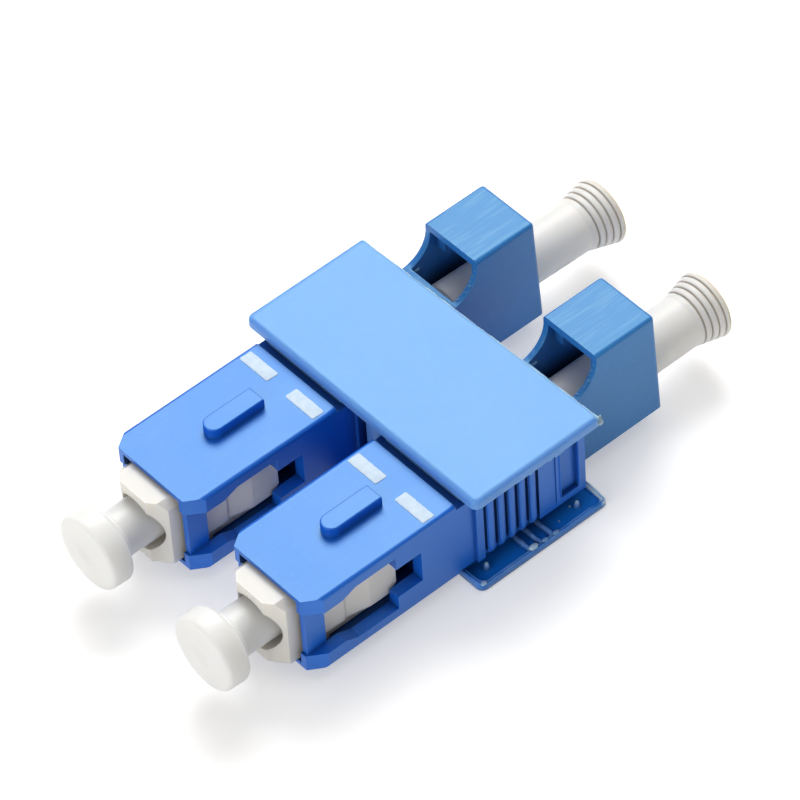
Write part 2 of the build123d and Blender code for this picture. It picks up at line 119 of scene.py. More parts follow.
def addLump(shape, centre, size, seed, roughness, wornShare):
    wornLayer = shape.verts.layers.float.get("worn") or shape.verts.layers.float.new("worn")
    lump = bmesh.ops.create_icosphere(shape, subdivisions=lumpDetail, radius=1)
    for vertex in lump["verts"]:
        swell = 1 + roughness * noise.noise(vertex.co * lumpBumps + Vector((seed, 0, 0)))
        vertex.co = Vector([c + v * s * swell for c, v, s in zip(centre, vertex.co, size)])
        vertex[wornLayer] = wornShare


def roundedPath(points, radii, steps=6):
    made = []
    for i, (point, radius) in enumerate(zip(points, radii)):
        here = Vector(point)
        if radius == 0:
            made.append(here)
            continue
        before = (Vector(points[i - 1]) - here).normalized()
        after = (Vector(points[(i + 1) % len(points)]) - here).normalized()
        halfAngle = before.angle(after) / 2
        middle = here + (before + after).normalized() * radius / math.sin(halfAngle)
        start = (here + before * radius / math.tan(halfAngle) - middle).normalized()
        end = (here + after * radius / math.tan(halfAngle) - middle).normalized()
        for k in range(steps + 1):
            made.append(middle + radius * start.slerp(end, k / steps))
    return made


def evenPath(points, spacing):
    made = []
    for start, end in zip(points, points[1:] + points[:1]):
        count = max(1, round((end - start).length / spacing))
        for k in range(count):
            made.append(start.lerp(end, k / count))
    return made


def outwardOf(points):
    # Unit vectors that point out of a closed path that runs anticlockwise
    ways = []
    for i, point in enumerate(points):
        along = points[(i + 1) % len(points)] - points[i - 1]
        ways.append(Vector((along.y, -along.x)).normalized())
    return ways


def rough(x, y, z, size):
    # Smooth noise from -1 to 1 whose lumps are about size across
    return noise.noise(Vector((x, y, z)) / size)


# Materials: object coordinates are the frame's own metres

def addNode(tree, kind, inputs=None, **settings):
    node = tree.nodes.new("ShaderNode" + kind)
    for name, value in settings.items():
        setattr(node, name, value)
    for name, value in (inputs or {}).items():
        if isinstance(value, bpy.types.NodeSocket):
            tree.links.new(value, node.inputs[name])
        else:
            node.inputs[name].default_value = value
    return node


def noiseIn(tree, place, lumpSize, detail=2.0, low=0.35, high=0.65):
    grain = addNode(tree, "TexNoise", {"Vector": place, "Scale": 1 / lumpSize, "Detail": detail})
    return addNode(tree, "MapRange", {
        "Value": grain.outputs[0], "From Min": low, "From Max": high,
    }).outputs[0]


def mixed(tree, share, first, second, blend="MIX"):
    return addNode(tree, "MixRGB", {
        "Fac": share, "Color1": first, "Color2": second,
    }, blend_type=blend).outputs[0]


def times(tree, first, second):
    return addNode(tree, "Math", {0: first, 1: second}, operation="MULTIPLY").outputs[0]


def edgesOf(tree, radius):
    # 0 on a flat face and 1 on a sharp edge
    rounded = addNode(tree, "Bevel", {"Radius": radius}, samples=6)
    flat = addNode(tree, "NewGeometry")
    match = addNode(tree, "VectorMath", {
        0: rounded.outputs[0], 1: flat.outputs["Normal"],
    }, operation="DOT_PRODUCT")
    return addNode(tree, "MapRange", {
        "Value": match.outputs["Value"], "From Min": 0.99, "From Max": 0.75,
    }).outputs[0]


def startMaterial(name):
    material = bpy.data.materials.new(name)
    material.use_nodes = True
    tree = material.node_tree
    shader = tree.nodes["Principled BSDF"]
    place = addNode(tree, "TexCoord").outputs["Object"]
    return material, tree, shader, place


def mouldedPlastic(finish):
    # Satin moulded plastic: cloudy colour, flow streaks with a painted sheen on level faces,
    # edges paler from rubbing and a painted highlight, painted shade in recesses and between parts, fine
    # grain and uneven gloss
    material, tree, shader, place = startMaterial(finish["name"])
    clouds = noiseIn(tree, place, finish["cloudSize"], detail=3.0)
    colour = mixed(tree, clouds, finish["colour"], finish["cloudColour"])
    if finish["streakSheenShare"]:
        along = addNode(tree, "Mapping", {"Vector": place, "Scale": finish["streakStretch"]}).outputs[0]
        streakSheen = noiseIn(tree, along, finish["streakSize"], detail=4.0, low=0.5, high=0.72)
        # Flow streaks painted paler only on level faces, up or down, where the sheen shows them: a
        # painted sheen
        normal = addNode(tree, "NewGeometry").outputs["Normal"]
        upward = addNode(tree, "SeparateXYZ", {0: normal}).outputs["Z"]
        level = addNode(tree, "Math", {0: upward}, operation="ABSOLUTE").outputs[0]
        streakSheen = times(tree, streakSheen, level)
        colour = mixed(tree, times(tree, streakSheen, finish["streakSheenShare"]), colour, finish["rubbedAndHighlightColour"])
    specks = noiseIn(tree, place, finish["speckSize"], low=0.6, high=0.72)
    colour = mixed(tree, times(tree, specks, finish["speckShare"]), colour, finish["rubbedAndHighlightColour"])
    # Edges turned paler: partly rubbed wear, partly a painted highlight along them
    edges = times(tree, edgesOf(tree, finish["edgeRadius"]), finish["edgeWearAndHighlightShare"])
    colour = mixed(tree, edges, colour, finish["rubbedAndHighlightColour"])
    if finish.get("wornColour"):
        worn = addNode(tree, "Attribute", attribute_name="worn").outputs["Fac"]
        colour = mixed(tree, worn, colour, finish["wornColour"])
    # Painted shade: colour darkened towards the painted shade colour wherever ambient occlusion finds
    # nearby surfaces, in recesses and between parts
    closed = addNode(tree, "AmbientOcclusion", {"Distance": finish["paintedShadeReach"]}, samples=6)
    paintedShadeMask = addNode(tree, "MapRange", {
        "Value": closed.outputs["AO"], "From Min": 0.8, "From Max": 0.25,
    })
    shade = times(tree, paintedShadeMask.outputs[0], finish["paintedShadeShare"])
    colour = mixed(tree, shade, colour, finish["paintedShadeColour"])
    tree.links.new(colour, shader.inputs["Base Color"])
    gloss = addNode(tree, "MapRange", {
        "Value": clouds, "To Min": finish["roughness"] - 0.01, "To Max": finish["roughness"] + 0.015,
    })
    tree.links.new(gloss.outputs[0], shader.inputs["Roughness"])
    grain = addNode(tree, "TexNoise", {
        "Vector": place, "Scale": 1 / finish["grainSize"], "Detail": 3.0,
    })
    bump = addNode(tree, "Bump", {
        "Height": grain.outputs[0], "Strength": finish["grainStrength"],
        "Distance": finish["grainDepth"],
    })
    tree.links.new(bump.outputs[0], shader.inputs["Normal"])
    shader.inputs["IOR"].default_value = 1.5
    shader.inputs["Specular IOR Level"].default_value = finish["sheen"]
    shader.inputs["Specular Tint"].default_value = finish["sheenTint"]
    shader.inputs["Subsurface Weight"].default_value = finish["glow"]
    shader.inputs["Subsurface Radius"].default_value = finish["glowReach"]
    shader.inputs["Subsurface Scale"].default_value = finish["glowScale"]
    return material


satin = {
    "cloudSize": 4 * mm, "speckSize": 0.25 * mm, "speckShare": 0.1,
    "streakSheenShare": 0.0, "streakStretch": (0.08, 1, 1), "streakSize": 0.3 * mm,
    "edgeRadius": 0.1 * mm, "edgeWearAndHighlightShare": 0.3,
    "roughness": 0.4, "sheen": 0.75, "sheenTint": (1.0, 1.0, 1.0, 1),
    "grainSize": 0.07 * mm, "grainStrength": 0.3, "grainDepth": 0.012 * mm,
    "glow": 0.0, "glowReach": (1.0, 1.0, 1.0), "glowScale": 0.5 * mm,
    # Painted shade in recesses and between parts: a near-black blue
    "paintedShadeShare": 0.85, "paintedShadeReach": 1.6 * mm, "paintedShadeColour": (0.001, 0.008, 0.05, 1),
}
# Painted shade for pale parts: a warm grey in recesses and between parts
palePaintedShade = {
    "paintedShadeShare": 0.4, "paintedShadeReach": 1.0 * mm, "paintedShadeColour": (0.3, 0.27, 0.24, 1),
}
coolSheen = (0.56, 0.97, 1.0, 1)
gripBlue = mouldedPlastic(satin | {
    "name": "gripBlue", "colour": (0.002, 0.125, 0.68, 1), "cloudColour": (0.003, 0.132, 0.7, 1),
    "rubbedAndHighlightColour": (0.08, 0.3, 0.8, 1), "streakSheenShare": 0.04, "sheen": 1.0, "sheenTint": coolSheen,
})
coverBlue = mouldedPlastic(satin | {
    "name": "coverBlue", "colour": (0.135, 0.33, 0.77, 1), "cloudColour": (0.145, 0.345, 0.79, 1),
    "rubbedAndHighlightColour": (0.3, 0.58, 0.92, 1), "wornColour": (0.72, 0.93, 1.0, 1), "sheenTint": coolSheen,
    "glow": 0.8, "glowReach": (0.5, 0.8, 1.0), "glowScale": 1.4 * mm, "paintedShadeShare": 0.15,
})
portBlue = mouldedPlastic(satin | {
    "name": "portBlue", "colour": (0.026, 0.19, 0.55, 1), "cloudColour": (0.03, 0.205, 0.575, 1),
    "rubbedAndHighlightColour": (0.2, 0.42, 0.72, 1), "wornColour": (0.3, 0.6, 0.85, 1),
    "streakSheenShare": 0.4, "grainStrength": 0.45, "sheen": 0.62, "sheenTint": coolSheen,
})
trayBlue = mouldedPlastic(satin | {
    "name": "trayBlue", "colour": (0.008, 0.2, 0.75, 1), "cloudColour": (0.012, 0.215, 0.78, 1),
    "rubbedAndHighlightColour": (0.1, 0.38, 0.7, 1), "wornColour": (0.72, 0.92, 1.0, 1), "sheenTint": coolSheen,
    "roughness": 0.25, "sheen": 0.5, "paintedShadeShare": 0.6,
    "glow": 0.2, "glowReach": (0.4, 0.8, 1.0),
})
markWhite = mouldedPlastic(satin | palePaintedShade | {
    "name": "markWhite", "colour": (0.58, 0.73, 0.88, 1), "cloudColour": (0.66, 0.8, 0.92, 1),
    "rubbedAndHighlightColour": (0.6, 0.76, 0.93, 1), "cloudSize": 0.5 * mm, "edgeWearAndHighlightShare": 0.0, "sheen": 0.22,
})
frameIvory = mouldedPlastic(satin | palePaintedShade | {
    "name": "frameIvory", "colour": (0.86, 0.84, 0.785, 1), "cloudColour": (0.87, 0.85, 0.8, 1),
    "rubbedAndHighlightColour": (0.89, 0.87, 0.82, 1), "speckShare": 0.04, "sheen": 0.35, "glow": 0.6,
    "glowReach": (1.0, 0.9, 0.75), "glowScale": 0.5 * mm,
})
capMilk = mouldedPlastic(satin | palePaintedShade | {
    "name": "capMilk", "colour": (0.95, 0.93, 0.89, 1), "cloudColour": (0.955, 0.94, 0.905, 1),
    "rubbedAndHighlightColour": (0.96, 0.945, 0.91, 1), "speckShare": 0.03, "glow": 1.0,
    "glowReach": (1.0, 0.95, 0.88), "glowScale": 1.0 * mm, "roughness": 0.34, "sheen": 0.4,
    "paintedShadeShare": 0.0,
})
capCream = mouldedPlastic(satin | palePaintedShade | {
    "name": "capCream", "colour": (0.975, 0.935, 0.88, 1), "cloudColour": (0.98, 0.945, 0.895, 1),
    "rubbedAndHighlightColour": (0.9, 0.83, 0.7, 1), "wornColour": (0.86, 0.74, 0.58, 1),
    "speckShare": 0.05, "sheen": 0.4, "glow": 0.8, "glowReach": (1.0, 0.9, 0.8), "glowScale": 0.5 * mm,
    "paintedShadeShare": 0.6, "paintedShadeReach": 0.3 * mm,
})
ferruleWhite = mouldedPlastic(satin | palePaintedShade | {
    "name": "ferruleWhite", "colour": (0.85, 0.85, 0.82, 1), "cloudColour": (0.88, 0.88, 0.86, 1),
    "rubbedAndHighlightColour": (0.93, 0.93, 0.92, 1), "speckShare": 0.02, "roughness": 0.18,
    "grainStrength": 0.05, "sheen": 0.5,
})


def drawnSteel(name, colour, roughness):
    material, tree, shader, place = startMaterial(name)
    rings = addNode(tree, "TexWave", {
        "Vector": place, "Scale": 1 / (0.4 * mm), "Distortion": 2.0, "Detail": 2.0,
    }, bands_direction="X")
    tint = mixed(tree, rings.outputs["Fac"], colour, [c * 0.85 for c in colour[:3]] + [1])
    tree.links.new(tint, shader.inputs["Base Color"])
    polish = addNode(tree, "MapRange", {
        "Value": rings.outputs["Fac"], "To Min": roughness, "To Max": roughness + 0.12,
    })
    tree.links.new(polish.outputs[0], shader.inputs["Roughness"])
    bump = addNode(tree, "Bump", {
        "Height": rings.outputs["Fac"], "Strength": 0.15, "Distance": 0.01 * mm,
    })
    tree.links.new(bump.outputs[0], shader.inputs["Normal"])
    shader.inputs["Metallic"].default_value = 1.0
    return material


turnedSteel = drawnSteel("turnedSteel", (0.62, 0.61, 0.59, 1), 0.28)
springSteel = drawnSteel("springSteel", (0.5, 0.5, 0.5, 1), 0.35)
print("materials made")


# CAD nodes that stay, with a finish and softened edges

def dressNode(node, material, edgeWidth=0.0):
    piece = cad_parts[node]
    piece.data.materials.clear()
    piece.data.materials.append(material)
    if edgeWidth:
        weld = piece.modifiers.new("weld", "WELD")
        weld.merge_threshold = 0.002 * mm
        soften = piece.modifiers.new("soften", "BEVEL")
        soften.width = edgeWidth
        soften.segments = 2
        soften.limit_method = "ANGLE"
        soften.angle_limit = math.radians(32)
        soften.harden_normals = True


for row in rows:
    dressNode(f"plug_grip_{row}", gripBlue, 0.07 * mm)
    dressNode(f"plug_frame_{row}", frameIvory, 0.1 * mm)
    dressNode(f"port_body_{row}", portBlue, 0.06 * mm)
    dressNode(f"sleeve_holder_{row}", frameIvory)
    dressNode(f"alignment_sleeve_{row}", ferruleWhite)
    dressNode(f"plug_ferrule_{row}", ferruleWhite)
    dressNode(f"port_ferrule_{row}", ferruleWhite)
    dressNode(f"ferrule_holder_{row}", turnedSteel)
    dressNode(f"ferrule_spring_{row}", springSteel)
print("grips, frames, port bodies and inner parts dressed")


# Top cover: light blue plate, broken along its rear edge, with a melted tab at one corner

topCover = {
    "thickness": 0.9 * mm, "frontCorner": 0.6 * mm, "rearCorner": 0.3 * mm,
    "rearNear": 6.4 * mm, "rearFar": 5.75 * mm, "spacing": 0.11 * mm,
    "edgeInset": 0.42 * mm, "edgeDrop": 0.3 * mm, "edgeSteps": 6,
    "rimEdge": 0.12 * mm, "rimWidth": 0.1 * mm, "foot": 0.08 * mm, "underEdge": 0.3 * mm,
    "breakDepth": 0.05 * mm, "breakSize": 0.8 * mm, "breakFine": 0.03 * mm, "breakFineSize": 0.2 * mm,
    "breakReach": 0.4 * mm, "sagDepth": 0.05 * mm, "whiteSize": 0.9 * mm,
    "teethDepth": 0.3 * mm, "teethSize": 0.32 * mm, "teethReach": 0.3 * mm,
    "teethFrom": -2.2 * mm, "teethTo": 3.4 * mm,
    "padFront": -5.2 * mm, "padRear": 3.85 * mm, "padSide": 3.9 * mm, "padDepth": 0.7 * mm,
    "socketRadius": 1.35 * mm, "socketGap": 0.02 * mm, "pegRadius": 0.8 * mm,
    "pegX": (-3.2 * mm, 2.6 * mm),
    # The melted tab: each lump's place past the near rear corner, in from the side and down
    # from the top, its size, both in mm, its seed and how white it is
    "tab": (
        ((0.0, 0.3, 0.6), (0.26, 0.24, 0.34), 4, 0.25),
        ((0.1, 0.26, 0.88), (0.27, 0.22, 0.26), 9, 0.4),
        ((0.16, 0.26, 0.62), (0.12, 0.16, 0.26), 2, 0.5),
        ((0.18, 0.3, 0.36), (0.08, 0.09, 0.14), 6, 0.7),
    ),
}
lumpRoughness = 0.12


def addSeatPads(shape, size, bottom, top):
    front, rear = size["padFront"], size["padRear"]
    for row in rows:
        near, far = rowY[row] - size["padSide"], rowY[row] + size["padSide"]
        corners = [(front, near), (rear, near), (rear, far), (front, far)]
        addLoft(shape, [[(x, y, z) for x, y in corners] for z in (bottom, top)])


def drawnIn(ring, inset, z):
    # A flat ring inside another, drawn towards its middle so that its corners never cross
    across = [(min(values), max(values)) for values in list(zip(*ring))[:2]]
    middle = [(least + most) / 2 for least, most in across]
    shrink = [1 - 2 * inset / (most - least) for least, most in across]
    drawn = []
    for x, y, _ in ring:
        inX = middle[0] + (x - middle[0]) * shrink[0]
        inY = middle[1] + (y - middle[1]) * shrink[1]
        drawn.append((inX, inY, z))
    return drawn


def makeTopCover():
    size = topCover
    low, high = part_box("top_cover")
    top = high.z
    bottom = top - size["thickness"]
    corners = [(low.x, low.y), (size["rearNear"], low.y), (size["rearFar"], high.y), (low.x, high.y)]
    radii = [size["frontCorner"], size["rearCorner"], size["rearCorner"], size["frontCorner"]]
    outline = evenPath(roundedPath(corners, radii), size["spacing"])
    ways = outwardOf(outline)

    def rearEdgeAt(y):
        return size["rearFar"] + (size["rearNear"] - size["rearFar"]) * (high.y - y) / (high.y - low.y)

    def brokenShare(x, y):
        return max(0.0, min(1.0, 1 - (rearEdgeAt(y) - x) / size["breakReach"]))

    def teethShare(x, y):
        along = 0.0 if x < size["teethFrom"] or x > size["teethTo"] else 1.0
        return along * max(0.0, 1 - (y - low.y) / size["teethReach"])

    def ringAt(inset, drop, rimInset, rimDrop, teeth=0.0):
        # The rim values hold along the broken rear edge, and the others everywhere else
        ring = []
        for point, way in zip(outline, ways):
            share = brokenShare(point.x, point.y)
            z = top - drop - share * (rimDrop - drop)
            wave = size["breakDepth"] * (1 + rough(point.x, point.y, 0.7 * z, size["breakSize"]))
            wave += size["breakFine"] * (1 + rough(point.x, point.y, 0.7 * z, size["breakFineSize"]))
            at = point - way * (inset + share * (rimInset - inset + wave))
            tooth = max(0.0, rough(point.x, point.y, 3 * mm, size["teethSize"]))
            tooth *= teethShare(point.x, point.y)
            ring.append((at.x, at.y, z - tooth * teeth - share * size["sagDepth"]))
        return ring

    thickness, foot, teeth = size["thickness"], size["foot"], size["teethDepth"]
    edgeInset, edgeDrop, rim = size["edgeInset"], size["edgeDrop"], size["rimEdge"]
    rings = [drawnIn(ringAt(0, thickness, 0, thickness), size["underEdge"], bottom)]
    rings.append(ringAt(foot, thickness, foot, thickness, teeth))
    rings.append(ringAt(0, thickness - foot, 0, thickness - foot, 0.95 * teeth))
    for step in (0.85, 0.55, 0.25):
        deep = edgeDrop + step * (thickness - foot - edgeDrop)
        rings.append(ringAt(0, deep, 0, deep))
    for step in range(size["edgeSteps"] + 1):
        turn = math.pi / 2 / size["edgeSteps"] * step
        into, down = 1 - math.cos(turn), 1 - math.sin(turn)
        rings.append(ringAt(edgeInset * into, edgeDrop * down, rim * into, rim * down))
    rimFirst, rimLast = len(rings) - size["edgeSteps"], len(rings) - 1
    rings.append(drawnIn(rings[-1], size["rimWidth"], top))
    rings.append(drawnIn(rings[-1], size["rimWidth"], top))

    def whitened(ring, at):
        # White along the broken rim, fainter below it and on the tips of the teeth
        patchy = max(0.0, min(1.0, 0.85 + 0.9 * rough(at.x, at.y, at.z, size["whiteSize"])))
        if rimFirst <= ring <= rimLast:
            return patchy * min(1.0, 1.6 * brokenShare(at.x, at.y) ** 2)
        if ring == 1:
            return 0.4 * teethShare(at.x, at.y)
        return 0.3 * patchy * brokenShare(at.x, at.y) ** 3 if ring < rimFirst else 0.0

    shape = bmesh.new()
    addLoft(shape, rings, worn=whitened)
    addSeatPads(shape, size, bottom - size["padDepth"], bottom)
    socketEnd = axisZ + size["socketGap"]
    for x in size["pegX"]:
        for end, radius in ((socketEnd, size["socketRadius"]), (low.z, size["pegRadius"])):
            addTurned(shape, [(end, radius), (bottom, radius)], (x, 0), 48, True)
    for (past, across, down), reach, seed, white in size["tab"]:
        place = (size["rearNear"] + past * mm, low.y + across * mm, top - down * mm)
        addLump(shape, place, [length * mm for length in reach], seed, lumpRoughness, white)
    piece = newPiece("topCover", shape, "housing", "top_cover")
    piece.data.materials.append(coverBlue)


makeTopCover()


# Bottom tray: floor with a ragged lip, stubs of cut ribs, small posts and lumps of flash

bottomTray = {
    "corner": 0.6 * mm, "rearCorner": 0.3 * mm, "edgeRadius": 0.2 * mm, "spacing": 0.16 * mm,
    "floor": 0.5 * mm, "sink": 0.05 * mm, "sideLip": 0.76 * mm,
    "endRise": 0.14 * mm, "endReach": 0.5 * mm, "cornerDrop": 0.2 * mm, "cornerReach": 1.2 * mm,
    "lipWall": 0.32 * mm, "lipEdge": 0.06 * mm, "lipGroove": 0.05 * mm,
    "lipWave": 0.05 * mm, "lipWaveSize": 0.9 * mm, "lipFine": 0.02 * mm, "lipFineSize": 0.25 * mm,
    "padFront": -5.2 * mm, "padRear": 3.85 * mm, "padSide": 3.9 * mm, "padHeight": 1.6 * mm,
    "stubX": (-0.45 * mm, 0.52 * mm, 1.63 * mm), "stubWidth": 0.38 * mm, "stubTop": 0.88 * mm,
    "stubInner": 10.2 * mm, "stubOuter": 12.2 * mm, "stubWave": 0.12 * mm,
    "postRadius": 0.27 * mm, "postTop": 1.1 * mm,
    "posts": ((-3.75 * mm, 11.15 * mm), (4.8 * mm, 11.3 * mm)),
    "socketRadius": 1.35 * mm, "socketHole": 0.82 * mm, "socketDepth": 2.6 * mm,
    "pegX": (-3.2 * mm, 2.6 * mm),
    "rearGlintFrom": -10.2 * mm, "rearGlintReach": 0.6 * mm, "rearGlintFade": 0.5 * mm, "tornSize": 1.1 * mm,
    # Lumps of flash: each one's X, place in from the near side and height, its size, both in
    # mm, its seed and how white it is
    "lumps": (
        ((-0.2, 0.26, 0.84), (0.4, 0.24, 0.2), 2, 0.75),
        ((0.85, 0.22, 0.8), (0.28, 0.17, 0.1), 5, 0.3),
        ((1.9, 0.22, 0.78), (0.3, 0.16, 0.08), 11, 0.35),
        ((-5.0, 0.2, 0.8), (0.26, 0.2, 0.12), 7, 0.6),
        ((2.9, 1.0, 0.5), (0.08, 0.08, 0.06), 8, 0.5),
        ((4.4, 1.5, 0.5), (0.1, 0.1, 0.07), 3, 0.5),
    ),
}


def addStub(shape, x, side, seed, size):
    # A cut rib: a strip that runs out to the lip, with a wavy, rounded top
    rings = []
    count = 20
    base = size["floor"] - size["sink"]
    for k in range(count + 1):
        y = size["stubInner"] + (size["stubOuter"] - size["stubInner"]) * k / count
        lean = 0.2 * size["stubWidth"] * rough(seed, y, 0, 0.8 * mm)
        height = size["stubTop"] - size["stubWave"] * (0.5 + rough(seed, y, 5 * mm, 0.5 * mm))
        half = size["stubWidth"] / 2 * (1 + 0.2 * rough(seed, y, 9 * mm, 0.4 * mm))
        profile = [(-half, base), (-0.9 * half, height - 0.1 * mm)]
        profile += [(-0.5 * half, height - 0.02 * mm), (0, height)]
        profile += [(-across, z) for across, z in profile[2::-1]]
        rings.append([(x + lean + across, side * y, z) for across, z in profile])
    addLoft(shape, rings, worn=lambda ring, at: 0.22 if at.z > size["floor"] + 0.15 * mm else 0.0)


def makeBottomTray():
    size = bottomTray
    low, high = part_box("bottom_cover")
    corners = [(low.x, low.y), (high.x, low.y), (high.x, high.y), (low.x, high.y)]
    radii = [size["corner"], size["rearCorner"], size["rearCorner"], size["corner"]]
    outline = evenPath(roundedPath(corners, radii), size["spacing"])
    ways = outwardOf(outline)

    def lipHeight(point):
        atEnd = max(0.0, 1 - min(high.x - point.x, point.x - low.x) / size["endReach"])
        toCorner = (Vector((high.x, math.copysign(high.y, point.y))) - point).length
        drop = max(0.0, 1 - toCorner / size["cornerReach"])
        wave = size["lipWave"] * rough(point.x, point.y, 2 * mm, size["lipWaveSize"])
        wave += size["lipFine"] * rough(point.x, point.y, 4 * mm, size["lipFineSize"])
        return size["sideLip"] + size["endRise"] * atEnd - size["cornerDrop"] * drop + wave

    def ringAt(inset, z=None, under=0.0):
        ring = []
        for point, way in zip(outline, ways):
            at = point - way * inset
            ring.append((at.x, at.y, lipHeight(point) - under if z is None else z))
        return ring

    radius, edge, wall = size["edgeRadius"], size["lipEdge"], size["lipWall"]
    outer = ringAt(0, low.z)
    rings = [drawnIn(outer, radius, low.z), drawnIn(outer, 0.3 * radius, low.z + 0.3 * radius)]
    rings += [ringAt(0, low.z + radius), ringAt(0, under=edge)]
    rings += [ringAt(0.3 * edge, under=0.3 * edge), ringAt(edge)]
    rings.append(ringAt(wall / 2, under=size["lipGroove"]))
    for inset, under in ((wall - edge, 0.0), (wall, 1.5 * edge)):
        inner = drawnIn(outer, inset, 0)
        rings.append([(x, y, lipHeight(point) - under) for (x, y, _), point in zip(inner, outline)])
    rings.append(drawnIn(outer, wall + 0.02 * mm, size["floor"] + edge))
    rings.append(drawnIn(outer, wall + edge, size["floor"]))
    outside, lipFirst, groove, lipLast = 2, 3, 6, 8

    def lipTornAndGlint(ring, at):
        # Pale in torn patches along the lip, partly torn plastic and partly a painted highlight; a
        # painted glint at the near end of the rear lip
        if ring < lipFirst or ring > lipLast:
            return 0.06 if ring == outside else 0.0
        torn = max(0.0, min(1.0, 0.45 + 0.8 * rough(at.x, at.y, 7 * mm, size["tornSize"])))
        # Painted glint: two bright lines along the near end of the rear lip, fainter in the groove
        # between them
        rear = max(0.0, 1 - (high.x - at.x) / size["rearGlintReach"])
        rear *= max(0.0, min(1.0, (size["rearGlintFrom"] - at.y) / size["rearGlintFade"]))
        torn *= 0.1 if ring in (lipFirst, groove) else 0.3
        return min(1.0, torn + 2 * rear * (0.25 if ring == groove else 1.0))

    shape = bmesh.new()
    addLoft(shape, rings, worn=lipTornAndGlint)
    base = size["floor"] - size["sink"]
    addSeatPads(shape, size, base, size["padHeight"])
    for side in (-1, 1):
        for number, x in enumerate(size["stubX"]):
            addStub(shape, x, side, (number + 1) * side * 3 * mm, size)
        for x, y in size["posts"]:
            top, around = size["postTop"], size["postRadius"]
            profile = [(base, around), (top - 0.3 * mm, 0.75 * around)]
            profile += [(top - 0.04 * mm, 0.45 * around), (top, 0.25 * around)]
            addTurned(shape, profile, (x, side * y), 32, True, worn=lambda ring, at: 0.25 * ring)
    hole, outerRadius, holeEnd = size["socketHole"], size["socketRadius"], axisZ - size["socketDepth"]
    for x in size["pegX"]:
        profile = [(base, outerRadius), (axisZ, outerRadius), (axisZ, hole), (holeEnd, hole)]
        addTurned(shape, profile, (x, 0), 48, True)
    for (x, inward, z), reach, seed, white in size["lumps"]:
        place = (x * mm, low.y + inward * mm, z * mm)
        addLump(shape, place, [length * mm for length in reach], seed, lumpRoughness, white)
    piece = newPiece("bottomTray", shape, "housing", "bottom_cover")
    piece.data.materials.append(trayBlue)


makeBottomTray()
print("covers made")


# Printed marks beside each key: thin ink with slightly uneven edges

indexMarks = {
    "width": 3.04 * mm, "corner": 0.14 * mm, "spacing": 0.07 * mm,
    "uneven": 0.03 * mm, "unevenSize": 0.3 * mm, "topEdge": 0.01 * mm, "topInset": 0.04 * mm,
}


def makeIndexMarks(row):
    size = indexMarks
    low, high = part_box(f"index_marks_{row}")
    width, edge = size["width"], size["topEdge"]
    shape = bmesh.new()
    for y in (low.y, high.y - width):
        corners = [(low.x, y), (high.x, y), (high.x, y + width), (low.x, y + width)]
        outline = evenPath(roundedPath(corners, [size["corner"]] * 4), size["spacing"])
        ways = outwardOf(outline)

        def ringAt(inset, z):
            ring = []
            for point, way in zip(outline, ways):
                uneven = size["uneven"] * rough(point.x, point.y, 0, size["unevenSize"])
                at = point - way * (inset + uneven)
                ring.append((at.x, at.y, z))
            return ring

        rings = [ringAt(0, low.z), ringAt(edge, high.z - edge), ringAt(size["topInset"], high.z)]
        addLoft(shape, rings)
    piece = newPiece(f"indexMarks_{row}", shape, "housing", f"index_marks_{row}")
    piece.data.materials.append(markWhite)


# Dust caps: a soft, milky mushroom on each plug, and a long ringed tube in each port

# A turned end stops this far from its axis
poleRadius = 0.1 * mm
plugCap = {
    "headThickness": 2.0 * mm, "frontEdge": 0.35 * mm, "rearEdge": 0.45 * mm, "taper": 0.08 * mm,
    "neckFillet": 0.3 * mm, "neckRadius": 2.0 * mm, "neckLength": 0.5 * mm,
    "stemRadius": 1.85 * mm, "stemChamfer": 0.2 * mm,
    "bore": 1.3 * mm, "boreEnd": -23.0 * mm, "dimpleRadius": 1.0 * mm, "dimpleDepth": 0.1 * mm,
}


def makePlugCap(row):
    size = plugCap
    node = f"plug_dust_cap_{row}"
    low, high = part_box(node)
    head = (high.y - low.y) / 2
    rear = low.x + size["headThickness"]
    dimpleEnd = low.x + size["dimpleDepth"]
    neck, stem, chamfer = size["neckRadius"], size["stemRadius"], size["stemChamfer"]
    points = [(dimpleEnd, poleRadius), (dimpleEnd, 0.35 * size["dimpleRadius"])]
    points += [(low.x, size["dimpleRadius"]), (low.x, head - size["taper"])]
    radii = [0, 0.3 * mm, 0.5 * mm, size["frontEdge"]]
    points += [(rear, head), (rear, neck), (rear + size["neckLength"], neck)]
    radii += [size["rearEdge"], size["neckFillet"], 0.08 * mm]
    points += [(rear + 1.2 * size["neckLength"], stem), (high.x - chamfer, stem)]
    radii += [0.05 * mm, 0]
    points += [(high.x, stem - chamfer), (high.x, size["bore"])]
    points += [(size["boreEnd"], size["bore"]), (size["boreEnd"], poleRadius)]
    radii += [0, 0, 0, 0]
    shape = bmesh.new()
    addTurned(shape, roundedPath(points, radii), (rowY[row], axisZ))
    piece = newPiece(f"plugCap_{row}", shape, f"plug_cap_{row}", node)
    piece.data.materials.append(capMilk)


portCap = {
    "radius": 2.1 * mm, "chamfer": 0.15 * mm, "bore": 1.3 * mm, "boreDepth": 4.6 * mm,
    "ringFirst": 12.95 * mm, "ringPitch": 0.55 * mm, "ringCount": 4,
    "ringWidth": 0.15 * mm, "ringDepth": 0.19 * mm, "ringEdge": 0.05 * mm, "ringFoot": 0.03 * mm,
    "rimEdge": 0.26 * mm, "rimFlat": 0.26 * mm,
    "tanWidth": 0.6 * mm, "tanStart": 0.05 * mm, "tanFade": 0.12 * mm,
    "mouth": 14.7 * mm, "bend": {"a": 0.0, "b": -0.5 * mm},
}


